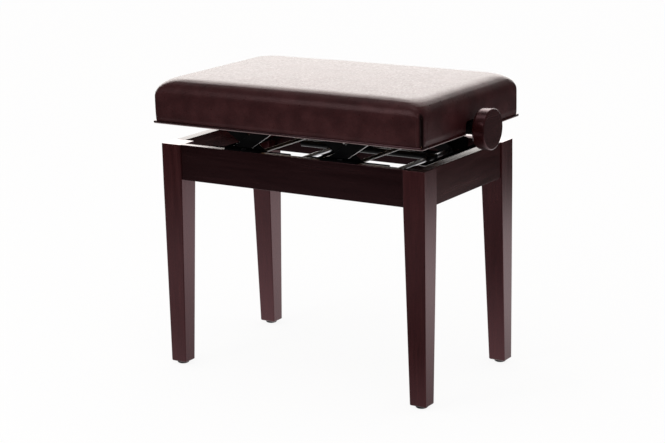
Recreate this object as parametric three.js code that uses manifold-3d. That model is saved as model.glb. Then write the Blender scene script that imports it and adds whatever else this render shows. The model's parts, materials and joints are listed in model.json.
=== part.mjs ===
// Height-adjustable piano bench: a padded seat on two scissor sets over a four-legged wooden frame.
// Millimetres, +Z up, +X to the knob end, -Y to the front. The origin is on the floor, under the
// middle of the whole bench, knob included.

import * as THREE from "three";
import { mergeVertices } from "three/addons/utils/BufferGeometryUtils.js";
import Module from "manifold-3d";

const wasm = await Module();
wasm.setup();

// Overall sizes
const seatLength = 544;
const seatDepth = 339;
const frameLength = 533;
const frameHeight = 407;
const seatOverhang = 14;
const seatRise = 37.5;

// Clearances and finish of curves
const clearance = 0.3;
const runningGap = 0.5;
const overrun = 2;
const roundSegments = 18;
const cornerSegments = 5;

// Legs and glides
const legWidth = 41;
const footWidth = 31.4;
const footDepth = 27.3;
const footLeanX = 1.5;
const footLeanY = 0.5;
const legShoulderDrop = 5;
const legEdgeRadius = 1.5;
const legFootChamfer = 1.5;
const glideHeight = 5;
const glideRadius = 11;
const glideFlatRadius = 7.5;
const glideNailRadius = 2;
const glideNailLength = 16;

// Aprons and their tenons
const apronHeight = 63;
const apronThickness = 20;
const apronSetback = 2;
const tenonThickness = 8;
const tenonLength = 16;
const tenonShoulder = 9;

// Scissor sets
const setSpacing = 196;
const steepestArmAngle = THREE.MathUtils.degToRad(59);
const armWidth = 22;
const armThickness = 3;
const pivotRadius = 4;
const pivotHeadRadius = 6.5;
const pivotHeadThickness = 2;
const lowerPivotDrop = 28;
const upperPivotInset = 9.5;
const travelDown = 33;
const travelUp = 40;
const crossbarWidth = 7;
const crossbarThickness = 2.5;
const outerBarFromPivot = 28;
const outerBarLift = 3.5;
const innerBarFromHub = 27;
const innerBarLift = 5.5;

// Steel brackets
const bracketThickness = 2.5;
const bracketDepthBelow = 11;
const bracketEndMargin = 18;
const slotSpare = 0.5;
const tabLength = 70;
const tabReach = 19;
const upperFlangeReach = 17;
const screwHeadRadius = 4.5;
const screwShankRadius = 2.2;
const screwLength = 18;
const bracketStripWidth = 12;
const bracketStripDrop = 8;

// End angle inside the right apron
const endAngleWidth = 14;
const endAngleHeight = 20;
const endAngleGap = 3;

// Tie rod between the lower slide rods
const tieRadius = 6;
const tieOffset = 55;
const tieLift = 4;
const tieEyeRadius = 8;
const tieEyeWidth = 16;
const tieOverhangLeft = 67;
const tieOverhangRight = 16;

// Spindle, crosshead, bearings and knob
const spindleRadius = 6;
const journalRadius = 5;
const thrustRadius = 10;
const collarRadius = 12;
const thrustLength = 7;
const crossheadSize = 18;
const crossheadWidth = 22;
const bearingThickness = 4;
const bearingWidth = 28;
const bearingFlange = 20;
const bearingFromCrosshead = 5;
const outerBearingWidth = 60;
const outerBearingDrop = 7.5;
const outerBearingTopGap = 4;
const knobRadius = 35;
const knobThickness = 24;
const knobBackRadius = 6;
const knobFaceRadius = 2.5;
const knobGap = 14.8;
const knobBoreDepth = 14;
const knobSegments = 40;

// Seat
const trimThickness = 5;
const trimWidth = 22;
const trimOverhang = 0.8;
const trimCornerRadius = 3;
const coverThickness = 4;
const endRailWidth = 30.8;
const railHeight = 37.5;
const boardThickness = 10;
const cushionHeight = 76;
const cushionCrown = 3.3;
const cushionRollHeight = 27;
const cushionRollWidth = 28;
const cushionCornerRadius = 10;
const cushionDrawIn = 1.2;
const cushionLongSteps = 10;
const cushionShortSteps = 6;
const cushionRollSteps = 6;
const cushionCrownShares = [0.8, 0.55, 0.28];
const notchWidth = 44;
const notchHeight = 18.5;
const notchCornerRadius = 6;

// Places that follow from the sizes
const halfLength = seatLength / 2;
const legX = frameLength / 2;
const legY = seatDepth / 2 - seatOverhang;
const apronOuterX = legX - apronSetback;
const apronOuterY = legY - apronSetback;
const apronInnerX = apronOuterX - apronThickness;
const apronInnerY = apronOuterY - apronThickness;
const seatUnderside = frameHeight + seatRise;
const lowerPivotZ = frameHeight - lowerPivotDrop;
const upperPivotZ = seatUnderside + upperPivotInset;
const restRise = upperPivotZ - lowerPivotZ;
const armLength = (restRise + travelUp) / Math.sin(steepestArmAngle);
const restAngle = Math.asin(restRise / armLength);
const lowReach = armLength * Math.cos(Math.asin((restRise - travelDown) / armLength));
const highReach = armLength * Math.cos(Math.asin((restRise + travelUp) / armLength));
const restReach = armLength * Math.cos(restAngle);
const fixedPivotX = { left: -setSpacing / 2 - restReach / 2, right: setSpacing / 2 - restReach / 2 };
const bracketFaceY = apronInnerY - bracketThickness;
const outerArmY = bracketFaceY - runningGap;
const innerArmY = outerArmY - armThickness - runningGap;
const rodEndY = apronInnerY - runningGap;
const cushionX = halfLength - trimOverhang;
const cushionY = seatDepth / 2 - trimOverhang;
const seatFrameX = cushionX - coverThickness - clearance;
const seatFrameY = cushionY - coverThickness - clearance;
const trimTop = seatUnderside + trimThickness;
const boardUnderside = trimTop + railHeight;
const boardTop = boardUnderside + boardThickness;
const railInnerX = seatFrameX - endRailWidth;
const railInnerY = apronInnerY;
const notchTop = trimTop + notchHeight;
const knobBack = cushionX + knobGap;
const knobFace = knobBack + knobThickness;

// Materials
const stain = { color: "#2f1513", roughness: 0.4, metalness: 0 };
const steel = { color: "#101012", roughness: 0.35, metalness: 0.6 };
const wood = () => new THREE.MeshStandardMaterial(stain);
const blackSteel = () => new THREE.MeshStandardMaterial(steel);
const brightSteel = () => new THREE.MeshStandardMaterial({ color: "#8d8d90", roughness: 0.3, metalness: 1 });
const leather = () => new THREE.MeshStandardMaterial({ color: "#3a2224", roughness: 0.45, metalness: 0 });
const plywood = () => new THREE.MeshStandardMaterial({ color: "#8a6a45", roughness: 0.8, metalness: 0 });
const plastic = () => new THREE.MeshStandardMaterial({ color: "#141212", roughness: 0.5, metalness: 0 });

// A three.js geometry as a closed solid, with its shared corners merged and its faces pointing out
function solid(geometry) {
  const bare = geometry.clone();
  for (const name of Object.keys(bare.attributes)) {
    if (name !== "position") bare.deleteAttribute(name);
  }
  const merged = mergeVertices(bare);
  const corners = merged.attributes.position;
  const index = merged.index.array;
  const triangles = [];
  let volume = 0;
  const a = new THREE.Vector3();
  const b = new THREE.Vector3();
  const c = new THREE.Vector3();
  for (let i = 0; i < index.length; i += 3) {
    const [p, q, r] = [index[i], index[i + 1], index[i + 2]];
    if (p === q || q === r || r === p) continue;
    triangles.push([p, q, r]);
    a.fromBufferAttribute(corners, p);
    b.fromBufferAttribute(corners, q);
    c.fromBufferAttribute(corners, r);
    volume += a.dot(b.cross(c));
  }
  const outward = volume < 0 ? triangles.map(([p, q, r]) => [p, r, q]) : triangles;
  const mesh = new wasm.Mesh({
    numProp: 3,
    vertProperties: new Float32Array(corners.array),
    triVerts: new Uint32Array(outward.flat()),
  });
  return new wasm.Manifold(mesh);
}

function geometryOf(body) {
  const mesh = body.getMesh();
  const geometry = new THREE.BufferGeometry();
  geometry.setAttribute("position", new THREE.BufferAttribute(new Float32Array(mesh.vertProperties), 3));
  geometry.setIndex(new THREE.BufferAttribute(new Uint32Array(mesh.triVerts), 1));
  geometry.computeVertexNormals();
  return geometry;
}

function join(...bodies) {
  return bodies.reduce((sum, body) => sum.add(body));
}

function cut(body, ...tools) {
  return tools.reduce((rest, tool) => rest.subtract(tool), body);
}

// A box between two corners
function block([x0, y0, z0], [x1, y1, z1]) {
  const geometry = new THREE.BoxGeometry(Math.abs(x1 - x0), Math.abs(y1 - y0), Math.abs(z1 - z0));
  geometry.translate((x0 + x1) / 2, (y0 + y1) / 2, (z0 + z1) / 2);
  return solid(geometry);
}

// A round bar along Y, X or Z from one place to another
function barY(radius, x, z, y0, y1) {
  const geometry = new THREE.CylinderGeometry(radius, radius, Math.abs(y1 - y0), roundSegments);
  geometry.translate(x, (y0 + y1) / 2, z);
  return solid(geometry);
}

function barX(radius, y, z, x0, x1) {
  const geometry = new THREE.CylinderGeometry(radius, radius, Math.abs(x1 - x0), roundSegments);
  geometry.rotateZ(Math.PI / 2);
  geometry.translate((x0 + x1) / 2, y, z);
  return solid(geometry);
}

function barZ(radius, x, y, z0, z1) {
  const geometry = new THREE.CylinderGeometry(radius, radius, Math.abs(z1 - z0), roundSegments);
  geometry.rotateX(Math.PI / 2);
  geometry.translate(x, y, (z0 + z1) / 2);
  return solid(geometry);
}

// An outline in X and Z, as thick as the stretch of Y from near to far on one side of the bench
function plate(outline, side, near, far) {
  const geometry = new THREE.ExtrudeGeometry(outline, {
    depth: far - near,
    bevelEnabled: false,
    curveSegments: roundSegments / 2,
  });
  geometry.rotateX(Math.PI / 2);
  geometry.translate(0, Math.max(side * near, side * far), 0);
  return solid(geometry);
}

// A bar's outline with two round ends, centred on the points (x0, z) and (x1, z)
function stadium(x0, x1, z, radius) {
  const outline = new THREE.Shape();
  outline.absarc(x1, z, radius, -Math.PI / 2, Math.PI / 2, false);
  outline.absarc(x0, z, radius, Math.PI / 2, (3 * Math.PI) / 2, false);
  outline.closePath();
  return outline;
}

// A turned piece: its outline as pairs of radius and height, spun about Z
function turned(profile, segments) {
  const points = profile.map(([radius, height]) => new THREE.Vector2(radius, height));
  const geometry = new THREE.LatheGeometry(points, segments);
  geometry.rotateX(Math.PI / 2);
  return geometry;
}

// The same, spun about X
function turnedAlongX(profile, segments) {
  const geometry = turned(profile, segments);
  geometry.rotateY(Math.PI / 2);
  return geometry;
}

// Points of a quarter circle about a centre, from one angle to another
function arc(centreA, centreB, radius, from, to, steps) {
  const points = [];
  for (let i = 0; i <= steps; i++) {
    const angle = from + ((to - from) * i) / steps;
    points.push([centreA + radius * Math.cos(angle), centreB + radius * Math.sin(angle)]);
  }
  return points;
}

// A closed skin over rings of equal length, flat at the first ring and at the last
function loft(rings) {
  const count = rings[0].length;
  const corners = rings.flat();
  const faces = [];
  for (let level = 0; level + 1 < rings.length; level++) {
    for (let i = 0; i < count; i++) {
      const next = (i + 1) % count;
      const low = level * count;
      const high = low + count;
      faces.push(low + i, low + next, high + next, low + i, high + next, high + i);
    }
  }
  const middle = (ring) => {
    const sum = ring.reduce((total, [x, y, z]) => [total[0] + x, total[1] + y, total[2] + z], [0, 0, 0]);
    return sum.map((value) => value / count);
  };
  const bottom = corners.push(middle(rings[0])) - 1;
  const top = corners.push(middle(rings[rings.length - 1])) - 1;
  const last = (rings.length - 1) * count;
  for (let i = 0; i < count; i++) {
    const next = (i + 1) % count;
    faces.push(bottom, next, i, top, last + i, last + next);
  }
  const geometry = new THREE.BufferGeometry();
  geometry.setAttribute("position", new THREE.Float32BufferAttribute(corners.flat(), 3));
  geometry.setIndex(faces);
  return solid(geometry);
}

function addMesh(group, name, body, material) {
  const mesh = new THREE.Mesh(geometryOf(body), material);
  mesh.name = name;
  group.add(mesh);
  return mesh;
}

const sides = { front: -1, back: 1 };
const ends = { left: -1, right: 1 };
const bench = new THREE.Group();

// Legs: square at the aprons, then the two inner faces taper to the foot, while the outer faces lean
// in by a millimetre or so
function legRing(end, side, width, depth, height, inset, leanX, leanY) {
  const radius = Math.min(legEdgeRadius, width / 2 - inset, depth / 2 - inset);
  const low = inset + radius;
  const innerX = width - inset - radius;
  const innerY = depth - inset - radius;
  const ring = [
    ...arc(low, low, radius, Math.PI, 1.5 * Math.PI, cornerSegments),
    ...arc(innerX, low, radius, 1.5 * Math.PI, 2 * Math.PI, cornerSegments),
    ...arc(innerX, innerY, radius, 0, 0.5 * Math.PI, cornerSegments),
    ...arc(low, innerY, radius, 0.5 * Math.PI, Math.PI, cornerSegments),
  ];
  return ring.map(([u, v]) => [end * (legX - leanX - u), side * (legY - leanY - v), height]);
}

function mortises(end, side) {
  const low = frameHeight - apronHeight + tenonShoulder - clearance;
  const high = frameHeight - tenonShoulder + clearance;
  const half = tenonThickness / 2 + clearance;
  const middleX = apronOuterX - apronThickness / 2;
  const middleY = apronOuterY - apronThickness / 2;
  const innerX = legX - legWidth;
  const innerY = legY - legWidth;
  return [
    block(
      [end * (innerX - overrun), side * (middleY - half), low],
      [end * (innerX + tenonLength + clearance), side * (middleY + half), high],
    ),
    block(
      [end * (middleX - half), side * (innerY - overrun), low],
      [end * (middleX + half), side * (innerY + tenonLength + clearance), high],
    ),
  ];
}

function addLegs() {
  const shoulder = frameHeight - apronHeight - legShoulderDrop;
  for (const [sideName, side] of Object.entries(sides)) {
    for (const [endName, end] of Object.entries(ends)) {
      const rings = [
        legRing(end, side, footWidth, footDepth, glideHeight, legFootChamfer, footLeanX, footLeanY),
        legRing(end, side, footWidth, footDepth, glideHeight + legFootChamfer, 0, footLeanX, footLeanY),
        legRing(end, side, legWidth, legWidth, shoulder, 0, 0, 0),
        legRing(end, side, legWidth, legWidth, frameHeight, 0, 0, 0),
      ];
      const footX = end * (legX - footLeanX - footWidth / 2);
      const footY = side * (legY - footLeanY - footDepth / 2);
      const nailTop = glideHeight + glideNailLength;
      const nailHole = barZ(
        glideNailRadius + clearance,
        footX,
        footY,
        glideHeight - overrun,
        nailTop + clearance,
      );
      const leg = cut(loft(rings), ...mortises(end, side), nailHole);
      addMesh(bench, `leg_${sideName}_${endName}`, leg, wood());
      const glideEdge = glideRadius - glideFlatRadius;
      const glide = turned(
        [
          [0, 0],
          [glideFlatRadius, 0],
          ...arc(glideFlatRadius, glideEdge, glideEdge, -Math.PI / 2, 0, cornerSegments),
          [glideRadius, glideHeight],
          [glideNailRadius, glideHeight],
          [glideNailRadius, nailTop],
          [0, nailTop],
        ],
        roundSegments,
      );
      const mesh = addMesh(bench, `glide_${sideName}_${endName}`, solid(glide), plastic());
      mesh.position.set(footX, footY, 0);
    }
  }
}

// Aprons: boards between the legs, level with the leg tops, with a tenon at each end
function addAprons() {
  const low = frameHeight - apronHeight;
  const tenonLow = low + tenonShoulder;
  const tenonHigh = frameHeight - tenonShoulder;
  const reachX = legX - legWidth;
  const reachY = legY - legWidth;
  const half = tenonThickness / 2;
  for (const [name, side] of Object.entries(sides)) {
    const middle = side * (apronOuterY - apronThickness / 2);
    const screwHoles = Object.values(fixedPivotX).map((pivotX) =>
      barZ(
        screwShankRadius + clearance,
        pivotX + restReach / 2,
        middle,
        frameHeight - screwLength - clearance,
        frameHeight + overrun,
      ),
    );
    const board = block([-reachX, side * apronInnerY, low], [reachX, side * apronOuterY, frameHeight]);
    const tenons = block(
      [-reachX - tenonLength, middle - half, tenonLow],
      [reachX + tenonLength, middle + half, tenonHigh],
    );
    addMesh(bench, `apron_${name}`, cut(join(board, tenons), ...screwHoles), wood());
  }
  for (const [name, end] of Object.entries(ends)) {
    const middle = end * (apronOuterX - apronThickness / 2);
    const board = block([end * apronInnerX, -reachY, low], [end * apronOuterX, reachY, frameHeight]);
    const tenons = block(
      [middle - half, -reachY - tenonLength, tenonLow],
      [middle + half, reachY + tenonLength, tenonHigh],
    );
    addMesh(bench, `apron_${name}`, join(board, tenons), wood());
  }
}

// End angle: a steel angle inside the right apron, its upper flange level with the apron's top
function addEndAngle() {
  const reach = legY - legWidth - endAngleGap;
  const upright = block(
    [apronInnerX - bracketThickness, -reach, frameHeight - endAngleHeight],
    [apronInnerX, reach, frameHeight],
  );
  const flange = block(
    [apronInnerX - endAngleWidth, -reach, frameHeight - bracketThickness],
    [apronInnerX, reach, frameHeight],
  );
  addMesh(bench, "end_angle", join(upright, flange), blackSteel());
}

// Bracket strips: a flat strip across the bench, between the fixed ends of a front and a back bracket
function addBracketStrips() {
  for (const [name, pivotX] of Object.entries(fixedPivotX)) {
    const startX = pivotX - bracketEndMargin;
    const top = frameHeight - bracketStripDrop;
    const strip = block(
      [startX, -bracketFaceY, top - bracketThickness],
      [startX + bracketStripWidth, bracketFaceY, top],
    );
    addMesh(bench, `bracket_strip_${name}`, strip, blackSteel());
  }
}

// The slot that a slide rod runs in, from the highest to the lowest pose of the seat
function slideSlot(pivotX, pivotZ, side) {
  const outline = stadium(
    pivotX + highReach - slotSpare,
    pivotX + lowReach + slotSpare,
    pivotZ,
    pivotRadius + clearance,
  );
  return plate(outline, side, bracketFaceY - overrun, apronInnerY + overrun);
}

// Lower brackets: an upright flange with a pivot stud and a slot, and a tab screwed onto the apron
function addLowerBrackets() {
  for (const [endName, pivotX] of Object.entries(fixedPivotX)) {
    const hubX = pivotX + restReach / 2;
    const endX = pivotX + lowReach + bracketEndMargin;
    for (const [sideName, side] of Object.entries(sides)) {
      const screwY = side * (apronOuterY - apronThickness / 2);
      const tabTop = frameHeight + bracketThickness;
      const flange = block(
        [pivotX - bracketEndMargin, side * bracketFaceY, lowerPivotZ - bracketDepthBelow],
        [endX, side * apronInnerY, frameHeight],
      );
      const tab = block(
        [hubX - tabLength / 2, side * bracketFaceY, frameHeight],
        [hubX + tabLength / 2, side * (apronInnerY + tabReach), tabTop],
      );
      const headStart = outerArmY - armThickness - clearance;
      const headEnd = headStart - pivotHeadThickness;
      const stud = join(
        barY(pivotRadius, pivotX, lowerPivotZ, side * (bracketFaceY + clearance), side * headEnd),
        barY(pivotHeadRadius, pivotX, lowerPivotZ, side * headStart, side * headEnd),
      );
      const sink = turned(
        [
          [0, -bracketThickness - overrun],
          [screwShankRadius + clearance, -bracketThickness - overrun],
          [screwShankRadius + clearance, -bracketThickness],
          [screwHeadRadius + clearance, 0],
          [screwHeadRadius + clearance, overrun],
          [0, overrun],
        ],
        roundSegments,
      );
      sink.translate(hubX, screwY, tabTop);
      const bracket = cut(join(flange, tab, stud), slideSlot(pivotX, lowerPivotZ, side), solid(sink));
      addMesh(bench, `lower_bracket_${endName}_${sideName}`, bracket, blackSteel());

      const screw = turned(
        [
          [0, -screwLength],
          [screwShankRadius, -screwLength],
          [screwShankRadius, -bracketThickness],
          [screwHeadRadius, 0],
          [0, 0],
        ],
        roundSegments,
      );
      const mesh = addMesh(bench, `bracket_screw_${endName}_${sideName}`, solid(screw), brightSteel());
      mesh.position.set(hubX, screwY, tabTop);
    }
  }
}

// Outer arms: from the fixed lower pivot up to the sliding upper end, with the middle pin riveted in
function outerArm(side) {
  const near = outerArmY - armThickness;
  const pinEnd = innerArmY - armThickness - clearance;
  const holes = [0, armLength].map((x) =>
    barY(pivotRadius + clearance, x, 0, side * (near - overrun), side * (outerArmY + overrun)),
  );
  const arm = cut(plate(stadium(0, armLength, 0, armWidth / 2), side, near, outerArmY), ...holes);
  const pin = barY(pivotRadius, armLength / 2, 0, side * (near + clearance), side * pinEnd);
  const head = barY(pivotHeadRadius, armLength / 2, 0, side * pinEnd, side * (pinEnd - pivotHeadThickness));
  return join(arm, pin, head);
}

// Inner arms: from the fixed upper pivot down to the sliding lower end
function innerArm(side) {
  const near = innerArmY - armThickness;
  const holes = [0, armLength / 2, armLength].map((x) =>
    barY(pivotRadius + clearance, x, 0, side * (near - overrun), side * (innerArmY + overrun)),
  );
  return cut(plate(stadium(0, armLength, 0, armWidth / 2), side, near, innerArmY), ...holes);
}

// A flat bar between a front arm and a back arm, with its width along the arm
function crossbar(from, lift, reach) {
  return block([from, -reach, lift], [from + crossbarWidth, reach, lift + crossbarThickness]);
}

function addScissorSets() {
  for (const [name, pivotX] of Object.entries(fixedPivotX)) {
    const outer = new THREE.Group();
    outer.position.set(pivotX, 0, lowerPivotZ);
    outer.rotation.y = -restAngle;
    const inner = new THREE.Group();
    inner.position.set(pivotX, 0, upperPivotZ);
    inner.rotation.y = restAngle;
    for (const [sideName, side] of Object.entries(sides)) {
      addMesh(outer, `${name}_outer_arm_${sideName}`, outerArm(side), blackSteel());
      addMesh(inner, `${name}_inner_arm_${sideName}`, innerArm(side), blackSteel());
    }
    const outerBar = crossbar(outerBarFromPivot, outerBarLift, outerArmY - armThickness);
    addMesh(outer, `${name}_outer_crossbar`, outerBar, blackSteel());
    const innerBar = crossbar(armLength / 2 + innerBarFromHub, innerBarLift, innerArmY - armThickness);
    addMesh(inner, `${name}_inner_crossbar`, innerBar, blackSteel());
    const lowerRod = barY(pivotRadius, armLength, 0, -rodEndY, rodEndY);
    addMesh(inner, `${name}_lower_slide_rod`, lowerRod, brightSteel());
    if (name === "left") {
      const upperRod = barY(pivotRadius, armLength, 0, -rodEndY, rodEndY);
      addMesh(outer, `${name}_upper_slide_rod`, upperRod, brightSteel());
    }
    bench.add(outer, inner);
  }
}

// Tie rod: one bar with an eye round each lower slide rod, so that both sets open alike
function addTieRod() {
  const rods = Object.values(fixedPivotX).map((pivotX) => pivotX + restReach);
  const near = tieOffset - tieEyeWidth / 2;
  const far = tieOffset + tieEyeWidth / 2;
  const bar = barX(
    tieRadius,
    tieOffset,
    lowerPivotZ + tieLift,
    rods[0] - tieOverhangLeft,
    rods[1] + tieOverhangRight,
  );
  const eyes = rods.map((x) => barY(tieEyeRadius, x, lowerPivotZ, near, far));
  const bores = rods.map((x) =>
    barY(pivotRadius + clearance, x, lowerPivotZ, near - overrun, far + overrun),
  );
  addMesh(bench, "tie_rod", cut(join(bar, ...eyes), ...bores), blackSteel());
}

// Screw crosshead: the nut that the spindle drives, with a slide rod out to each upper bracket
function addCrosshead() {
  const x = fixedPivotX.right + restReach;
  const half = crossheadSize / 2;
  const halfWidth = crossheadWidth / 2;
  const nut = block([x - half, -halfWidth, upperPivotZ - half], [x + half, halfWidth, upperPivotZ + half]);
  const rod = barY(pivotRadius, x, upperPivotZ, -rodEndY, rodEndY);
  const bore = barX(spindleRadius + clearance, 0, upperPivotZ, x - half - overrun, x + half + overrun);
  addMesh(bench, "screw_crosshead", cut(join(nut, rod), bore), brightSteel());
}

// Upper brackets: the lower ones turned over, with their flange under the seat board
function addUpperBrackets() {
  const low = upperPivotZ - upperPivotInset + runningGap;
  for (const [endName, pivotX] of Object.entries(fixedPivotX)) {
    const startX = pivotX - bracketEndMargin;
    const endX = pivotX + lowReach + bracketEndMargin;
    for (const [sideName, side] of Object.entries(sides)) {
      const upright = block([startX, side * bracketFaceY, low], [endX, side * railInnerY, boardUnderside]);
      const flange = block(
        [startX, side * (bracketFaceY - upperFlangeReach), boardUnderside - bracketThickness],
        [endX, side * railInnerY, boardUnderside],
      );
      const collarEnd = innerArmY + clearance;
      const headStart = innerArmY - armThickness - clearance;
      const headEnd = headStart - pivotHeadThickness;
      const stud = join(
        barY(pivotHeadRadius, pivotX, upperPivotZ, side * (bracketFaceY + clearance), side * collarEnd),
        barY(pivotRadius, pivotX, upperPivotZ, side * (collarEnd + clearance), side * headEnd),
        barY(pivotHeadRadius, pivotX, upperPivotZ, side * headStart, side * headEnd),
      );
      const bracket = cut(join(upright, flange, stud), slideSlot(pivotX, upperPivotZ, side));
      addMesh(bench, `upper_bracket_${endName}_${sideName}`, bracket, blackSteel());
    }
  }
}

// Spindle: an end journal, the threaded length, a thrust shoulder at the bearing plate, the knob end
function addSpindle() {
  const bearingX = fixedPivotX.right + highReach - crossheadSize / 2 - bearingFromCrosshead;
  const plateIn = railInnerX - bracketThickness;
  const knobEnd = knobBack + knobBoreDepth;
  const start = bearingX - bearingThickness - runningGap;
  const shoulder = plateIn - runningGap;
  const spindle = turnedAlongX(
    [
      [0, start],
      [journalRadius, start],
      [journalRadius, bearingX + runningGap],
      [spindleRadius, bearingX + runningGap],
      [spindleRadius, shoulder - thrustLength],
      [thrustRadius, shoulder - thrustLength],
      [thrustRadius, shoulder],
      [spindleRadius, shoulder],
      [spindleRadius, knobEnd],
      [0, knobEnd],
    ],
    roundSegments,
  );
  addMesh(bench, "spindle", solid(spindle), blackSteel()).position.z = upperPivotZ;

  const collarStart = railInnerX + runningGap;
  const collarEnd = knobBack - runningGap;
  const collarInner = spindleRadius + clearance;
  const collar = turnedAlongX(
    [
      [collarInner, collarStart],
      [collarRadius, collarStart],
      [collarRadius, collarEnd],
      [collarInner, collarEnd],
      [collarInner, collarStart],
    ],
    roundSegments,
  );
  addMesh(bench, "spindle_collar", solid(collar), blackSteel()).position.z = upperPivotZ;

  const halfWidth = bearingWidth / 2;
  const hangerLow = upperPivotZ - upperPivotInset + runningGap;
  const hanger = block(
    [bearingX - bearingThickness, -halfWidth, hangerLow],
    [bearingX, halfWidth, boardUnderside],
  );
  const foot = block(
    [bearingX - bearingFlange, -halfWidth, boardUnderside - bearingThickness],
    [bearingX, halfWidth, boardUnderside],
  );
  const journalHole = barX(
    journalRadius + clearance,
    0,
    upperPivotZ,
    bearingX - bearingThickness - overrun,
    bearingX + overrun,
  );
  addMesh(bench, "spindle_bearing", cut(join(hanger, foot), journalHole), blackSteel());

  const bearingPlate = block(
    [plateIn, -outerBearingWidth / 2, upperPivotZ - outerBearingDrop],
    [railInnerX, outerBearingWidth / 2, boardUnderside - outerBearingTopGap],
  );
  const shaftHole = barX(
    spindleRadius + clearance,
    0,
    upperPivotZ,
    plateIn - overrun,
    railInnerX + overrun,
  );
  addMesh(bench, "spindle_bearing_plate", cut(bearingPlate, shaftHole), blackSteel());
}

// Knob: a turned wooden disc with a rounded back, a flat face and a blind bore for the spindle
function addKnob() {
  const faceEdge = knobThickness - knobFaceRadius;
  const knob = turnedAlongX(
    [
      [0, 0],
      ...arc(knobRadius - knobBackRadius, knobBackRadius, knobBackRadius, -Math.PI / 2, 0, cornerSegments),
      ...arc(knobRadius - knobFaceRadius, faceEdge, knobFaceRadius, 0, Math.PI / 2, cornerSegments),
      [0, knobThickness],
    ],
    knobSegments,
  );
  const bore = barX(spindleRadius + clearance, 0, 0, -overrun, knobBoreDepth + clearance);
  addMesh(bench, "knob", cut(solid(knob), bore), wood()).position.set(knobBack, 0, upperPivotZ);
}

// The cut-out at the knob end that lets the spindle through the cushion, the rail and the trim
function notch() {
  const half = notchWidth / 2;
  const radius = notchCornerRadius;
  const outline = new THREE.Shape();
  outline.moveTo(-half, seatUnderside - overrun);
  outline.lineTo(half, seatUnderside - overrun);
  outline.lineTo(half, notchTop - radius);
  outline.absarc(half - radius, notchTop - radius, radius, 0, Math.PI / 2, false);
  outline.absarc(radius - half, notchTop - radius, radius, Math.PI / 2, Math.PI, false);
  outline.closePath();
  const depth = cushionX + overrun - railInnerX + overrun;
  const geometry = new THREE.ExtrudeGeometry(outline, {
    depth,
    bevelEnabled: false,
    curveSegments: cornerSegments,
  });
  geometry.rotateX(Math.PI / 2);
  geometry.rotateZ(Math.PI / 2);
  geometry.translate(railInnerX - overrun, 0, 0);
  return solid(geometry);
}

// Seat frame: four rails under a plywood board
function addSeatFrame() {
  for (const [name, side] of Object.entries(sides)) {
    const rail = block(
      [-seatFrameX, side * railInnerY, trimTop],
      [seatFrameX, side * seatFrameY, boardUnderside],
    );
    addMesh(bench, `seat_rail_${name}`, rail, plywood());
  }
  for (const [name, end] of Object.entries(ends)) {
    const rail = block(
      [end * railInnerX, -railInnerY, trimTop],
      [end * seatFrameX, railInnerY, boardUnderside],
    );
    addMesh(bench, `seat_rail_${name}`, end > 0 ? cut(rail, notch()) : rail, plywood());
  }
  const board = block([-seatFrameX, -seatFrameY, boardUnderside], [seatFrameX, seatFrameY, boardTop]);
  addMesh(bench, "seat_board", board, plywood());
}

// Trim: thin strips under the rails that stand a little proud of the cushion
function addTrim() {
  const halfDepth = seatDepth / 2;
  for (const [name, side] of Object.entries(sides)) {
    const outline = new THREE.Shape();
    const radius = trimCornerRadius;
    outline.moveTo(-halfLength, halfDepth - trimWidth);
    outline.lineTo(halfLength, halfDepth - trimWidth);
    outline.absarc(halfLength - radius, halfDepth - radius, radius, 0, Math.PI / 2, false);
    outline.absarc(-halfLength + radius, halfDepth - radius, radius, Math.PI / 2, Math.PI, false);
    outline.closePath();
    const strip = new THREE.ExtrudeGeometry(outline, {
      depth: trimThickness,
      bevelEnabled: false,
      curveSegments: cornerSegments,
    });
    if (side < 0) strip.rotateZ(Math.PI);
    strip.translate(0, 0, seatUnderside);
    addMesh(bench, `trim_${name}`, solid(strip), wood());
  }
  const inner = halfLength - trimWidth;
  const reach = halfDepth - trimWidth;
  addMesh(bench, "trim_left", block([-halfLength, -reach, seatUnderside], [-inner, reach, trimTop]), wood());
  for (const [name, side] of Object.entries(sides)) {
    const strip = block(
      [inner, (side * notchWidth) / 2, seatUnderside],
      [halfLength, side * reach, trimTop],
    );
    addMesh(bench, `trim_right_${name}`, strip, wood());
  }
}

// One level of the cushion: a rectangle with round corners whose sides are drawn in between them
function cushionRing(halfX, halfY, radius, drawIn, height) {
  const points = [];
  const corner = (cx, cy, from) => {
    points.push(...arc(cx, cy, radius, from, from + Math.PI / 2, cornerSegments));
  };
  const side = (ax, ay, bx, by, inwardX, inwardY, steps) => {
    for (let i = 1; i < steps; i++) {
      const share = i / steps;
      const pull = drawIn * Math.sin(Math.PI * share);
      points.push([ax + (bx - ax) * share + inwardX * pull, ay + (by - ay) * share + inwardY * pull]);
    }
  };
  const x = halfX - radius;
  const y = halfY - radius;
  corner(x, y, 0);
  side(x, halfY, -x, halfY, 0, -1, cushionLongSteps);
  corner(-x, y, Math.PI / 2);
  side(-halfX, y, -halfX, -y, 1, 0, cushionShortSteps);
  corner(-x, -y, Math.PI);
  side(-x, -halfY, x, -halfY, 0, 1, cushionLongSteps);
  corner(x, -y, 1.5 * Math.PI);
  side(halfX, -y, halfX, y, -1, 0, cushionShortSteps);
  return points.map(([px, py]) => [px, py, height]);
}

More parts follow.
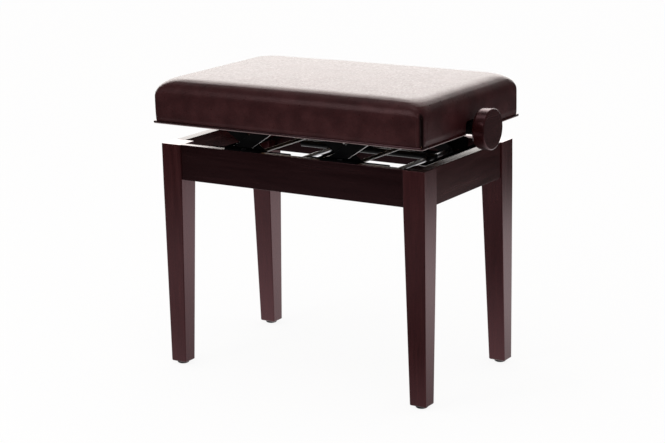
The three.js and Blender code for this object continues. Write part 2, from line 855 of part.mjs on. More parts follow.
// Cushion: foam under a cover. It has upright sides, a rolled top edge and a low crown, and is open
// below, where the seat frame sits in it.
function addCushion() {
  const base = trimTop + clearance;
  const flatTop = trimTop + cushionHeight - cushionCrown;
  const rollStart = flatTop - cushionRollHeight;
  const rings = [
    cushionRing(cushionX, cushionY, cushionCornerRadius, cushionDrawIn, base),
    cushionRing(cushionX, cushionY, cushionCornerRadius, cushionDrawIn, rollStart),
  ];
  for (let step = 1; step <= cushionRollSteps; step++) {
    const angle = (Math.PI / 2) * (step / cushionRollSteps);
    const inset = cushionRollWidth * (1 - Math.cos(angle));
    const height = rollStart + cushionRollHeight * Math.sin(angle);
    const radius = cushionCornerRadius + inset;
    rings.push(cushionRing(cushionX - inset, cushionY - inset, radius, cushionDrawIn, height));
  }
  for (const share of cushionCrownShares) {
    const height = flatTop + cushionCrown * (1 - share ** 2);
    const edgeX = (cushionX - cushionRollWidth) * share;
    const edgeY = (cushionY - cushionRollWidth) * share;
    const radius = (cushionCornerRadius + cushionRollWidth) * share;
    rings.push(cushionRing(edgeX, edgeY, radius, cushionDrawIn * share, height));
  }
  const recess = block(
    [-seatFrameX - clearance, -seatFrameY - clearance, base - overrun],
    [seatFrameX + clearance, seatFrameY + clearance, boardTop + clearance],
  );
  addMesh(bench, "cushion", cut(loft(rings), recess, notch()), leather());
}

addLegs();
addAprons();
addEndAngle();
addBracketStrips();
addLowerBrackets();
addScissorSets();
addTieRod();
addCrosshead();
addUpperBrackets();
addSpindle();
addKnob();
addSeatFrame();
addTrim();
addCushion();

// The middle of the whole length, from the left end of the trim to the knob's face, goes to X = 0
bench.position.x = -(knobFace - halfLength) / 2;

const part = new THREE.Group();
part.add(bench);
export default part;
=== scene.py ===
"""A height-adjustable piano bench with its finishes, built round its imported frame. Metres, +Z up."""

import json
import math

import bmesh
import bpy
from mathutils import Matrix, Quaternion, Vector, noise


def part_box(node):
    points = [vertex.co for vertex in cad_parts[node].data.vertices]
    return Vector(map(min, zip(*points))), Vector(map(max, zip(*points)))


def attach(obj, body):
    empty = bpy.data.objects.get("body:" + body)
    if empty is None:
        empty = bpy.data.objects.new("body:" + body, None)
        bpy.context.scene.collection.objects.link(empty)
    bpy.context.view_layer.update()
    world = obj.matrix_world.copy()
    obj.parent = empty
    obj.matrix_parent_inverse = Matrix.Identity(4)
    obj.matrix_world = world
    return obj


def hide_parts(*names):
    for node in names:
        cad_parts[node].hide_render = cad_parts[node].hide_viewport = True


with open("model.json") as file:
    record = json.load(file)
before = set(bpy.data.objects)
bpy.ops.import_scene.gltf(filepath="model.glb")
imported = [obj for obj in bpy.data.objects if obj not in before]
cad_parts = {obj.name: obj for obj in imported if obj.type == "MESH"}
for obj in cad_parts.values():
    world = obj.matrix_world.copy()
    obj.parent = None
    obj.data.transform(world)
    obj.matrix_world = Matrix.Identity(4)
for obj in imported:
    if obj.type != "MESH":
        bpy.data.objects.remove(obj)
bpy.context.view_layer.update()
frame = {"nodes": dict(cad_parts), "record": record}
mm = 0.001

# View
# The photograph was taken from the front, a little to the knob's side, from just over three metres
# away with a long lens. The camera was held very slightly off level.
photo_turn = math.radians(32.884)
photo_rise = math.radians(13.94)
photo_roll = math.radians(-1.277)
photo_distance = 3.233
photo_lens = 99.825
photo_sensor_width = 36
photo_centre = Vector((-0.0071, -0.0368, 0.2702))

towards_camera = Vector((
    math.sin(photo_turn) * math.cos(photo_rise),
    -math.cos(photo_turn) * math.cos(photo_rise),
    math.sin(photo_rise),
))
camera = bpy.data.objects.new("camera", bpy.data.cameras.new("camera"))
camera.data.lens = photo_lens
camera.data.sensor_width = photo_sensor_width
camera.location = photo_centre + towards_camera * photo_distance
camera.rotation_mode = "QUATERNION"
camera.rotation_quaternion = towards_camera.to_track_quat("Z", "Y") @ Quaternion((0, 0, 1), photo_roll)
bpy.context.scene.collection.objects.link(camera)
bpy.context.scene.camera = camera
bpy.context.scene.view_settings.view_transform = "Standard"

# Legs
# Solid timber under a dark red-brown stain and a thin lacquer. Each leg is square where the aprons
# meet it. Below that its two inner faces are planed to a taper, and the outer ones lean in slightly.
leg_foot_width = 31.4 * mm
leg_foot_depth = 27.3 * mm
leg_lean_x = 1.5 * mm
leg_lean_y = 0.5 * mm
leg_shoulder = 339 * mm
leg_edge = 1.5 * mm
leg_foot_chamfer = 1.5 * mm
leg_top_edge = 0.8 * mm
stain_dark = (0.019, 0.0036, 0.0038, 1)
stain_middle = (0.028, 0.0052, 0.0055, 1)
stain_light = (0.041, 0.0092, 0.0088, 1)
pore_tone = (0.45, 0.42, 0.42, 1)
cloud_tone = (0.86, 0.86, 0.86, 1)
full_tone = (1, 1, 1, 1)
lacquer_tint = (1, 0.5, 0.56, 1)
figure_stretch_share = 0.07
pore_stretch_share = 0.03
pore_share = 0.7
same_place = 0.01 * mm
nearly_along = 0.9
true_corner = math.radians(35)
evenly = (1, 1, 1)


def linked(tree, output, target):
    tree.links.new(output, target)


def new_material(name):
    made = bpy.data.materials.new(name)
    made.use_nodes = True
    tree = made.node_tree
    shader = tree.nodes["Principled BSDF"]
    return made, tree, shader


def noise_on(tree, scale, size, detail=4.0, rough=0.55, distortion=0.0):
    """Noise in the piece's own metres, stretched by a scale for each axis."""
    where = tree.nodes.new("ShaderNodeTexCoord")
    stretch = tree.nodes.new("ShaderNodeMapping")
    stretch.inputs["Scale"].default_value = scale
    grain = tree.nodes.new("ShaderNodeTexNoise")
    grain.inputs["Scale"].default_value = size
    grain.inputs["Detail"].default_value = detail
    grain.inputs["Roughness"].default_value = rough
    grain.inputs["Distortion"].default_value = distortion
    linked(tree, where.outputs["Object"], stretch.inputs["Vector"])
    linked(tree, stretch.outputs["Vector"], grain.inputs["Vector"])
    return grain.outputs["Fac"]


def drawn_out(along, share):
    """A scale that draws noise out along one axis, as grain is."""
    scale = [1, 1, 1]
    scale[along] = share
    return scale


def ramp(tree, value, *stops):
    """A colour for each place along a value from 0 to 1."""
    band = tree.nodes.new("ShaderNodeValToRGB")
    while len(band.color_ramp.elements) < len(stops):
        band.color_ramp.elements.new(0.5)
    for element, (place, colour) in zip(band.color_ramp.elements, stops):
        element.position = place
        element.color = colour
    linked(tree, value, band.inputs["Fac"])
    return band.outputs["Color"]


def spread(tree, value, low, high, start=0.3, end=0.7):
    """A value that runs from start to end, moved to run from low to high."""
    change = tree.nodes.new("ShaderNodeMapRange")
    change.inputs["From Min"].default_value = start
    change.inputs["From Max"].default_value = end
    change.inputs["To Min"].default_value = low
    change.inputs["To Max"].default_value = high
    linked(tree, value, change.inputs["Value"])
    return change.outputs["Result"]


def tinted(tree, first, second, share):
    """The first colour, multiplied by a share of the second."""
    mixer = tree.nodes.new("ShaderNodeMix")
    mixer.data_type = "RGBA"
    mixer.blend_type = "MULTIPLY"
    mixer.inputs["Factor"].default_value = share
    linked(tree, first, mixer.inputs["A"])
    linked(tree, second, mixer.inputs["B"])
    return mixer.outputs["Result"]


def raised(tree, shader, height, depth, strength=1.0):
    """Relief on a finish. A second call adds its relief to the first."""
    relief = tree.nodes.new("ShaderNodeBump")
    relief.inputs["Distance"].default_value = depth
    relief.inputs["Strength"].default_value = strength
    linked(tree, height, relief.inputs["Height"])
    before = shader.inputs["Normal"]
    if before.is_linked:
        linked(tree, before.links[0].from_socket, relief.inputs["Normal"])
    linked(tree, relief.outputs["Normal"], before)


def deeper(colour, share):
    return (*[channel * share for channel in colour[:3]], 1)


def stained_wood(name, along, depth=1.0, shine=0.8, smoothest=0.2, roughest=0.28):
    """Stained and lacquered timber whose grain runs along one axis, 0 to 2 for X to Z."""
    made, tree, shader = new_material(name)
    dark, middle, light = (deeper(stain, depth) for stain in (stain_dark, stain_middle, stain_light))
    figure_scale = drawn_out(along, figure_stretch_share)
    figure = noise_on(tree, figure_scale, size=90, detail=5, rough=0.6, distortion=0.6)
    colour = ramp(tree, figure, (0.28, dark), (0.5, middle), (0.76, light))
    pores = noise_on(tree, drawn_out(along, pore_stretch_share), size=900, detail=3)
    cloud = noise_on(tree, evenly, size=5, detail=2)
    colour = tinted(tree, colour, ramp(tree, pores, (0.34, pore_tone), (0.5, full_tone)), pore_share)
    colour = tinted(tree, colour, ramp(tree, cloud, (0.3, cloud_tone), (0.7, full_tone)), 1)
    linked(tree, colour, shader.inputs["Base Color"])
    linked(tree, spread(tree, figure, smoothest, roughest), shader.inputs["Roughness"])
    shader.inputs["Specular IOR Level"].default_value = shine
    shader.inputs["Specular Tint"].default_value = lacquer_tint
    raised(tree, shader, pores, depth=0.04 * mm, strength=0.6)
    return made


def eased(shape, edges, radius, steps=3, finish=-1):
    """Rounds the given edges of a shape. The rounds may take another of its materials."""
    bmesh.ops.bevel(
        shape,
        geom=edges,
        offset=radius,
        offset_type="OFFSET",
        affect="EDGES",
        segments=steps,
        profile=0.5,
        material=finish,
        clamp_overlap=True,
    )


def block_between(low, high):
    """A box from its lowest to its highest corner."""
    shape = bmesh.new()
    bmesh.ops.create_cube(shape, size=1)
    bmesh.ops.scale(shape, vec=high - low, verts=shape.verts)
    bmesh.ops.translate(shape, vec=(low + high) / 2, verts=shape.verts)
    return shape


def whole(shape):
    """All that a shape is made of, as a cut needs it."""
    return shape.verts[:] + shape.edges[:] + shape.faces[:]


def edges_along(shape, axis):
    return [
        e for e in shape.edges if abs((e.verts[0].co - e.verts[1].co).normalized()[axis]) > nearly_along
    ]


def edges_at(shape, axis, place):
    return [e for e in shape.edges if all(abs(v.co[axis] - place) < same_place for v in e.verts)]


def corner_kept(edge):
    """Whether an edge is a true corner of its piece, and not a step in a round."""
    return len(edge.link_faces) != 2 or edge.calc_face_angle(0) >= true_corner


def finished(name, shape, body, material):
    """Turns a shape into a piece that rides on a body, with only its true corners left sharp."""
    bmesh.ops.recalc_face_normals(shape, faces=shape.faces)
    for edge in shape.edges:
        edge.smooth = not corner_kept(edge)
    for face in shape.faces:
        face.smooth = True
    mesh = bpy.data.meshes.new(name)
    shape.to_mesh(mesh)
    shape.free()
    piece = bpy.data.objects.new(name, mesh)
    bpy.context.scene.collection.objects.link(piece)
    mesh.materials.append(material)
    even = piece.modifiers.new("even faces", "WEIGHTED_NORMAL")
    even.keep_sharp = True
    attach(piece, body)
    return piece


upright_wood = stained_wood("stained wood, upright grain", 2)
# The legs' top faces take a darker stain, partly for their end grain and partly as painted shade cast by
# the seat above.
end_grain_and_shade = stained_wood("stained wood, end grain", 2, depth=0.4, shine=0.8, smoothest=0.05, roughest=0.1)
for side in ("front", "back"):
    for end in ("left", "right"):
        node = f"leg_{side}_{end}"
        low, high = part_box(node)
        leg = block_between(low, high)
        bmesh.ops.bisect_plane(leg, geom=whole(leg), plane_co=(0, 0, leg_shoulder), plane_no=(0, 0, 1))
        inward_x = -1 if end == "right" else 1
        inward_y = -1 if side == "back" else 1
        outer_x = high.x if end == "right" else low.x
        outer_y = high.y if side == "back" else low.y
        foot = [v for v in leg.verts if abs(v.co.z - low.z) < same_place]
        narrower = (leg_foot_width / (high.x - low.x), leg_foot_depth / (high.y - low.y), 1)
        pivot = Matrix.Translation((-outer_x, -outer_y, 0))
        bmesh.ops.scale(leg, vec=narrower, space=pivot, verts=foot)
        bmesh.ops.translate(leg, vec=(inward_x * leg_lean_x, inward_y * leg_lean_y, 0), verts=foot)
        eased(leg, edges_along(leg, 2), leg_edge, steps=4)
        eased(leg, edges_at(leg, 2, low.z), leg_foot_chamfer, steps=1)
        eased(leg, edges_at(leg, 2, high.z), leg_top_edge, steps=2)
        # Top faces get the darker stain: end grain and painted shade.
        leg.normal_update()
        for face in leg.faces:
            if face.normal.z > nearly_along:
                face.material_index = 1
        piece = finished(f"{node}_tapered", leg, "frame", upright_wood)
        piece.data.materials.append(end_grain_and_shade)
        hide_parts(node)

# Aprons
# Four boards of the same timber, its stain darkened as painted shade, the long boards most, glued between
# the legs with blind tenons and set back from their faces. The long boards' inner top edge is planed to a
# slope.
apron_edge = 0.9 * mm
apron_joint = 0.1 * mm
slope_width = 7.5 * mm
slope_drop = 2.4 * mm
front_painted_shade = 0.25
front_shine = 0.55
side_painted_shade = 0.75
side_shine = 0.12

# The aprons' stain is darkened as painted shade, the long boards far more than the ends. The trim strips
# use the same darkened stain.
shaded_wood_along_x = stained_wood("stained wood, grain along the bench", 0, front_painted_shade, front_shine)
shaded_wood_along_y = stained_wood("stained wood, grain across the bench", 1, side_painted_shade, side_shine)
near_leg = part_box("leg_front_left")
far_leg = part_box("leg_back_right")
for name in ("front", "back", "left", "right"):
    low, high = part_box(f"apron_{name}")
    along = 0 if name in ("front", "back") else 1
    low[along] = near_leg[1][along] + apron_joint
    high[along] = far_leg[0][along] - apron_joint
    board = block_between(low, high)
    if along == 0:
        inward = 1 if name == "front" else -1
        inner_y = high.y if name == "front" else low.y
        slope_start = Vector((0, inner_y - inward * slope_width, high.z))
        slope_up = Vector((0, inward * slope_drop, slope_width))
        planed = bmesh.ops.bisect_plane(
            board, geom=whole(board), plane_co=slope_start, plane_no=slope_up, clear_outer=True
        )
        rim = [e for e in planed["geom_cut"] if isinstance(e, bmesh.types.BMEdge)]
        bmesh.ops.edgeloop_fill(board, edges=rim)
    eased(board, edges_along(board, along), apron_edge)
    grain = shaded_wood_along_x if along == 0 else shaded_wood_along_y
    piece = finished(f"apron_{name}_board", board, "frame", grain)
    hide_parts(f"apron_{name}")

# Glides
# Moulded plastic buttons with a nail in the middle, knocked into the end of each leg. Only the
# rounded rim and the flat that meets the floor are ever seen.
glide_rim = 3.5 * mm
glide_dimple = 2.4 * mm
glide_dimple_depth = 0.8 * mm
glide_steps = 40
glide_colour = (0.012, 0.011, 0.011, 1)


def round_stretch(centre, radius, start, end, steps):
    """Points of an arc, as pairs of distance from the axis and place along it. Angles are in degrees."""
    turns = [math.radians(start + (end - start) * i / steps) for i in range(steps + 1)]
    return [(centre[0] + radius * math.cos(t), centre[1] + radius * math.sin(t)) for t in turns]


def turned(profile, centre, axis, steps):
    """A piece turned on a lathe: pairs of radius and place along the axis, spun once round it."""
    shape = bmesh.new()
    aim = Vector(axis).to_track_quat("Z", "Y").to_matrix().to_4x4()
    place = Matrix.Translation(centre) @ aim
    points = [shape.verts.new(place @ Vector((radius, 0, along))) for radius, along in profile]
    outline = [shape.edges.new(pair) for pair in zip(points, points[1:])]
    bmesh.ops.spin(
        shape,
        geom=points + outline,
        cent=centre,
        axis=axis,
        angle=2 * math.pi,
        steps=steps,
        use_merge=True,
    )
    bmesh.ops.remove_doubles(shape, verts=shape.verts, dist=0.001 * mm)
    bmesh.ops.dissolve_degenerate(shape, edges=shape.edges, dist=0.001 * mm)
    return shape


plastic, tree, shader = new_material("black moulded plastic")
mottle = noise_on(tree, evenly, size=260)
shader.inputs["Base Color"].default_value = glide_colour
linked(tree, spread(tree, mottle, 0.45, 0.6), shader.inputs["Roughness"])
raised(tree, shader, mottle, depth=0.03 * mm)
for side in ("front", "back"):
    for end in ("left", "right"):
        node = f"glide_{side}_{end}"
        low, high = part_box(node)
        leg_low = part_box(f"leg_{side}_{end}")[0]
        radius = (high.x - low.x) / 2
        middle = Vector(((low.x + high.x) / 2, (low.y + high.y) / 2, low.z))
        height = leg_low.z - low.z
        profile = [
            (0, glide_dimple_depth),
            (glide_dimple, glide_dimple_depth),
            (glide_dimple + glide_dimple_depth, 0),
            *round_stretch((radius - glide_rim, glide_rim), glide_rim, -90, 0, steps=5),
            (radius, height),
            (0, height),
        ]
        button = turned(profile, middle, (0, 0, 1), glide_steps)
        piece = finished(f"{node}_button", button, "frame", plastic)
        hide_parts(node)

# Pressed steel
# Brackets, scissor arms, cross-bars and the end angle are cut and folded from strip, with their studs
# riveted in. They and the tie rod, collar and bearings are black, some of them in a duller coat, and
# some cut edges carry a pale grey paint as a painted highlight, on the outer arms only where they face
# down.
steel_edge = 0.35 * mm
highlight_edge_round = 0.8 * mm
dull_pieces = ("outer_crossbar", "bracket_left", "bracket_right", "bracket_strip", "end_angle")
highlight_edge_pieces = ("inner_crossbar", "bracket_strip_right", "end_angle", "outer_arm")
flat_enough = math.radians(1)
arm_highlight_limit = -0.1
enamel_colour = (0.002, 0.002, 0.0022, 1)
enamel_thin = (0.0035, 0.0035, 0.004, 1)
enamel_shine = 0.16
edge_highlight_dim = (0.48, 0.47, 0.47, 1)
edge_highlight_bright = (0.8, 0.78, 0.78, 1)


def broken_edges(node, radius, finish=-1):
    """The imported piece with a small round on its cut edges."""
    shape = bmesh.new()
    shape.from_mesh(frame["nodes"][node].data)
    bmesh.ops.remove_doubles(shape, verts=shape.verts, dist=same_place)
    bmesh.ops.dissolve_limit(shape, angle_limit=flat_enough, verts=shape.verts, edges=shape.edges)
    cut_edges = [e for e in shape.edges if len(e.link_faces) == 2 and e.calc_face_angle(0) > true_corner]
    eased(shape, cut_edges, radius, steps=2, finish=finish)
    return shape


enamel, tree, shader = new_material("gloss black enamel")
orange_peel = noise_on(tree, evenly, size=340, detail=2)
film = noise_on(tree, evenly, size=40)
thin = ramp(tree, film, (0.35, enamel_colour), (0.7, enamel_thin))
linked(tree, thin, shader.inputs["Base Color"])
linked(tree, spread(tree, film, 0.25, 0.4), shader.inputs["Roughness"])
shader.inputs["Specular IOR Level"].default_value = enamel_shine
raised(tree, shader, orange_peel, depth=0.05 * mm, strength=0.5)

dull_black, tree, shader = new_material("dull black steel")
shader.inputs["Base Color"].default_value = enamel_colour
linked(tree, spread(tree, noise_on(tree, evenly, size=40), 0.55, 0.75), shader.inputs["Roughness"])
shader.inputs["Specular IOR Level"].default_value = 0

# The pale grey finish on the rounded cut edges is a painted highlight, standing in for the bright edge
# lines.
edge_highlight_paint, tree, shader = new_material("enamel worn to steel")
edge_highlight_mottle = noise_on(tree, evenly, size=120)
linked(tree, ramp(tree, edge_highlight_mottle, (0.35, edge_highlight_dim), (0.6, edge_highlight_bright)), shader.inputs["Base Color"])
linked(tree, spread(tree, edge_highlight_mottle, 0.35, 0.5), shader.inputs["Roughness"])

bodies = frame["record"]["behaviour"]["bodies"]
body_of = {node: body for body, nodes in bodies.items() for node in nodes}
steel_nodes = [
    p["node"]
    for p in frame["record"]["subparts"]
    if p["material_slot"] == "black_steel" and p["node"] != "spindle"
]
for node in sorted(steel_nodes):
    highlight_painted = any(word in node for word in highlight_edge_pieces)
    shape = broken_edges(node, highlight_edge_round, finish=1) if highlight_painted else broken_edges(node, steel_edge)
    # On the outer arms only the downward-facing edges keep the pale paint, a painted reflection of the
    # white floor.
    if "outer_arm" in node:
        shape.normal_update()
        for face in shape.faces:
            if face.normal.z > arm_highlight_limit:
                face.material_index = 0
    dull = any(word in node for word in dull_pieces)
    finish = dull_black if dull else enamel
    piece = finished(f"{node}_enamelled", shape, body_of[node], finish)
    if highlight_painted:
        piece.data.materials.append(edge_highlight_paint)
    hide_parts(node)

# Slide rods and crosshead
# Plain turned steel with a small chamfer at each end, lightly oiled. The crosshead's nut is a square
# block with the screw's hole through it and a rod pressed into each side.
rod_chamfer = 0.6 * mm
rod_steps = 32
nut_edge = 0.8 * mm
oiled_colour = (0.3, 0.3, 0.31, 1)
turned_colour = (0.46, 0.46, 0.47, 1)

bright_steel, tree, shader = new_material("turned steel")
rings = noise_on(tree, (1, 30, 1), size=160, detail=3)
oil = noise_on(tree, evenly, size=30, detail=3)
linked(tree, ramp(tree, oil, (0.3, oiled_colour), (0.7, turned_colour)), shader.inputs["Base Color"])
linked(tree, spread(tree, rings, 0.22, 0.38), shader.inputs["Roughness"])
shader.inputs["Metallic"].default_value = 1
raised(tree, shader, rings, depth=0.01 * mm, strength=0.6)

for node in ("left_lower_slide_rod", "right_lower_slide_rod", "left_upper_slide_rod"):
    low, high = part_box(node)
    radius = (high.x - low.x) / 2
    length = high.y - low.y
    start = Vector(((low.x + high.x) / 2, low.y, (low.z + high.z) / 2))
    profile = [
        (0, 0),
        (radius - rod_chamfer, 0),
        (radius, rod_chamfer),
        (radius, length - rod_chamfer),
        (radius - rod_chamfer, length),
        (0, length),
    ]
    rod = turned(profile, start, (0, 1, 0), rod_steps)
    piece = finished(f"{node}_turned", rod, body_of[node], bright_steel)
    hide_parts(node)
crosshead = broken_edges("screw_crosshead", nut_edge)
piece = finished("screw_crosshead_turned", crosshead, "crosshead", bright_steel)
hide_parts("screw_crosshead")

# Screws
# Cross-headed steel screws. Four countersunk ones hold the lower brackets on the aprons, and two
# dome-headed ones hold each upper bracket under the seat board.
recess_reach = 1.7 * mm
recess_depth = 1.3 * mm
recess_cells = 3
head_steps = 12
countersink_depth = 2.5 * mm
countersink_share = 0.55
countersunk_turns = {"left": math.radians(20), "right": math.radians(55)}
bracket_steel = 2.5 * mm
dome_radius = 4 * mm
dome_rise = 0.9 * mm
dome_skirt = 1.1 * mm
dome_turn = 3
dome_inset = 7 * mm
dome_place_shares = (0.22, 0.78)

screw_steel = bright_steel.copy()
screw_steel.name = "zinc-plated screw"


def screw(shape, place, head, rise, skirt):
    """One screw with its head up along the place's Z. Rise lifts the middle, skirt is the rim's depth."""
    made = bmesh.ops.create_grid(
        shape, x_segments=recess_cells, y_segments=recess_cells, size=recess_reach
    )["verts"]
    cell = 2 * recess_reach / recess_cells
    faces = {f for v in made for f in v.link_faces}
    rim = [e for e in {e for v in made for e in v.link_edges} if e.is_boundary]
    cross = [
        f for f in faces if min(abs(f.calc_center_median().x), abs(f.calc_center_median().y)) < cell / 2
    ]
    slot = bmesh.ops.extrude_face_region(shape, geom=cross)["geom"]
    slot_floor = [g for g in slot if isinstance(g, bmesh.types.BMVert)]
    bmesh.ops.translate(shape, vec=(0, 0, -recess_depth), verts=slot_floor)
    circle = bmesh.ops.create_circle(shape, segments=head_steps, radius=head)["verts"]
    bmesh.ops.translate(shape, vec=(0, 0, -rise), verts=circle)
    circle_edges = list({e for v in circle for e in v.link_edges})
    bmesh.ops.bridge_loops(shape, edges=rim + circle_edges)
    down = bmesh.ops.extrude_edge_only(shape, edges=circle_edges)["geom"]
    low_ring = [g for g in down if isinstance(g, bmesh.types.BMVert)]
    low_edges = [g for g in down if isinstance(g, bmesh.types.BMEdge)]
    bmesh.ops.translate(shape, vec=(0, 0, -skirt), verts=low_ring)
    if rise == 0:
        bmesh.ops.scale(shape, vec=(countersink_share, countersink_share, 1), verts=low_ring)
    bmesh.ops.edgeloop_fill(shape, edges=low_edges)
    points = {v for v in made if v.is_valid} | set(slot_floor) | set(circle) | set(low_ring)
    bmesh.ops.transform(shape, matrix=place, verts=list(points))


for end in ("left", "right"):
    for side in ("front", "back"):
        node = f"bracket_screw_{end}_{side}"
        low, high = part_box(node)
        top = Vector(((low.x + high.x) / 2, (low.y + high.y) / 2, high.z))
        place = Matrix.Translation(top) @ Matrix.Rotation(countersunk_turns[end], 4, "Z")
        shape = bmesh.new()
        screw(shape, place, (high.x - low.x) / 2, 0, countersink_depth)
        piece = finished(f"{node}_head", shape, "frame", screw_steel)
        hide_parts(node)

board_screws = bmesh.new()
facing_down = Matrix.Rotation(math.pi, 4, "X")
for end in ("left", "right"):
    for side, sign in (("front", -1), ("back", 1)):
        low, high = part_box(f"upper_bracket_{end}_{side}")
        inner_y = low.y if sign > 0 else high.y
        head_z = high.z - bracket_steel - dome_rise - dome_skirt
        for share in dome_place_shares:
            at = Vector((low.x + (high.x - low.x) * share, inner_y + sign * dome_inset, head_z))
            turn = Matrix.Rotation(share * dome_turn + sign, 4, "Z")
            place = Matrix.Translation(at) @ facing_down @ turn
            screw(board_screws, place, dome_radius, dome_rise, dome_skirt)
finished("upper_bracket_screws", board_screws, "seat", screw_steel)

# Spindle
# A long blackened screw of coarse pitch that turns in two bearings under the seat. The thread is
# rolled, and the plain end beyond the bearing plate carries the collar and the knob.
thread_pitch = 4 * mm
thread_depth = 0.9 * mm
thread_sink = 0.2 * mm
thread_root_share = 0.42
thread_crest_share = 0.13
thread_steps = 14
shaft_radius = 6 * mm
journal_radius = 5 * mm
shoulder_width = 7 * mm
bearing_gap = 0.5 * mm

low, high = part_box("spindle")
axis_y = (low.y + high.y) / 2
axis_z = (low.z + high.z) / 2
shoulder_radius = (high.z - low.z) / 2
shoulder_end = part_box("spindle_bearing_plate")[0].x - bearing_gap
shoulder_start = shoulder_end - shoulder_width
journal_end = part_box("spindle_bearing")[1].x + bearing_gap
core = shaft_radius - thread_depth
profile = [
    (0, 0),
    (journal_radius - rod_chamfer, 0),
    (journal_radius, rod_chamfer),
    (journal_radius, journal_end - low.x),
    (core, journal_end - low.x),
    (core, shoulder_start - low.x),
    (shoulder_radius, shoulder_start - low.x),
    (shoulder_radius, shoulder_end - low.x),
    (shaft_radius, shoulder_end - low.x),
    (shaft_radius, high.x - low.x),
    (0, high.x - low.x),
]
spindle = turned(profile, Vector((low.x, axis_y, axis_z)), (1, 0, 0), rod_steps)
thread_start = journal_end + thread_pitch / 2
thread_turns = int((shoulder_start - thread_start - thread_pitch) / thread_pitch)
ridge = [
    spindle.verts.new((thread_start + share * thread_pitch, axis_y, axis_z + radius))
    for radius, share in (
        (core - thread_sink, -thread_root_share),
        (shaft_radius, -thread_crest_share),
        (shaft_radius, thread_crest_share),
        (core - thread_sink, thread_root_share),
    )
]
bmesh.ops.spin(
    spindle,
    geom=[spindle.faces.new(ridge)],
    cent=(thread_start, axis_y, axis_z),
    axis=(1, 0, 0),
    dvec=(thread_pitch / thread_steps, 0, 0),
    angle=2 * math.pi * thread_turns,
    steps=thread_steps * thread_turns,
)
bmesh.ops.remove_doubles(spindle, verts=spindle.verts, dist=0.001 * mm)
piece = finished("spindle_threaded", spindle, "spindle", enamel)
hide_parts("spindle")

# Knob
# Turned from the same timber as the legs, with a well rounded back edge, a small round at the face
# and a smooth lacquer. It is pinned on the spindle's plain end.
knob_back_round = 6 * mm
knob_face_round = 2.5 * mm
knob_hub = 9 * mm
knob_steps = 96

low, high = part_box("knob")
knob_radius = (high.z - low.z) / 2
knob_width = high.x - low.x
back_round = (knob_radius - knob_back_round, knob_back_round)
face_round = (knob_radius - knob_face_round, knob_width - knob_face_round)
profile = [
    (0, 0),
    (knob_hub, 0),
    *round_stretch(back_round, knob_back_round, -90, 0, steps=8),
    *round_stretch(face_round, knob_face_round, 0, 90, steps=5),
    (knob_hub, knob_width),
    (0, knob_width),
]
start = Vector((low.x, (low.y + high.y) / 2, (low.z + high.z) / 2))
knob = turned(profile, start, (1, 0, 0), knob_steps)
knob_wood = stained_wood("stained wood, turned", 1, depth=0.7, shine=0.6)
piece = finished("knob_turned", knob, "spindle", knob_wood)
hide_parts("knob")

# Seat board and rails
# The board is unfinished plywood and the rails are sawn softwood, glued and screwed. They show only
# from below, and the right rail, seen past the spindle, is darkened all over as painted shade.
ply_dark = (0.16, 0.09, 0.045, 1)
ply_light = (0.42, 0.29, 0.17, 1)
softwood_dark = (0.34, 0.2, 0.1, 1)
softwood_light = (0.55, 0.38, 0.22, 1)
fleck_tone = (0.7, 0.68, 0.66, 1)
raw_stretch_share = 0.06
painted_shade_share = 0.06
ply_figure = 45
softwood_figure = 70
fibre_fineness = 14


def raw_wood(name, along, dark, light, size):
    """Bare timber whose grain runs along one axis, with fine fibres in its figure."""
    made, tree, shader = new_material(name)
    scale = drawn_out(along, raw_stretch_share)
    figure = noise_on(tree, scale, size, detail=6, distortion=0.8)
    fibre = noise_on(tree, scale, size * fibre_fineness, detail=3)
    colour = ramp(tree, figure, (0.3, dark), (0.7, light))
    fleck = ramp(tree, fibre, (0.3, fleck_tone), (0.6, full_tone))
    linked(tree, tinted(tree, colour, fleck, 1), shader.inputs["Base Color"])
    linked(tree, spread(tree, fibre, 0.7, 0.9), shader.inputs["Roughness"])
    shader.inputs["Specular IOR Level"].default_value = 0.3
    raised(tree, shader, fibre, depth=0.15 * mm)
    return made


softwood_along_x = raw_wood(
    "sawn softwood, grain along the bench", 0, softwood_dark, softwood_light, softwood_figure
)
softwood_along_y = raw_wood(
    "sawn softwood, grain across the bench", 1, softwood_dark, softwood_light, softwood_figure
)
# The right rail's near-black colour is painted shade.
painted_shade = raw_wood(
    "sawn softwood, blackened",
    1,
    deeper(softwood_dark, painted_shade_share),
    deeper(softwood_light, painted_shade_share),
    softwood_figure,
)
plywood = raw_wood("plywood", 0, ply_dark, ply_light, ply_figure)
for node, wood in (
    ("seat_rail_front", softwood_along_x),
    ("seat_rail_back", softwood_along_x),
    ("seat_rail_left", softwood_along_y),
    ("seat_rail_right", painted_shade),
    ("seat_board", plywood),
):
    frame["nodes"][node].material_slots[0].material = wood

# Trim
# Thin strips of stained timber, in the aprons' stain darkened as painted shade, under the rails that
# stand a little proud of the cover.
# The downward-facing part of their rounded nose is painted paler as a painted highlight. They are cut
# away below the spindle.
trim_nose = 2.0 * mm
nose_highlight_limit = -0.3
nose_highlight_colour = (0.17, 0.11, 0.11, 1)
nose_highlight_depth = 0.6

# A paler colour on the downward-facing part of the nose: a painted highlight.
painted_highlight, tree, shader = new_material("stained wood, rubbed pale")
nose_highlight_mottle = noise_on(tree, evenly, size=60)
shade = ramp(tree, nose_highlight_mottle, (0.35, deeper(nose_highlight_colour, nose_highlight_depth)), (0.65, nose_highlight_colour))
linked(tree, shade, shader.inputs["Base Color"])
linked(tree, spread(tree, nose_highlight_mottle, 0.35, 0.5), shader.inputs["Roughness"])
for name in ("front", "back", "left", "right_front", "right_back"):
    node = f"trim_{name}"
    strip = broken_edges(node, trim_nose, finish=1)
    strip.normal_update()
    for face in strip.faces:
        if face.normal.z > nose_highlight_limit:
            face.material_index = 0
    grain = shaded_wood_along_x if name in ("front", "back") else shaded_wood_along_y
    piece = finished(f"{node}_strip", strip, "seat", grain)
    piece.data.materials.append(painted_highlight)
    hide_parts(node)
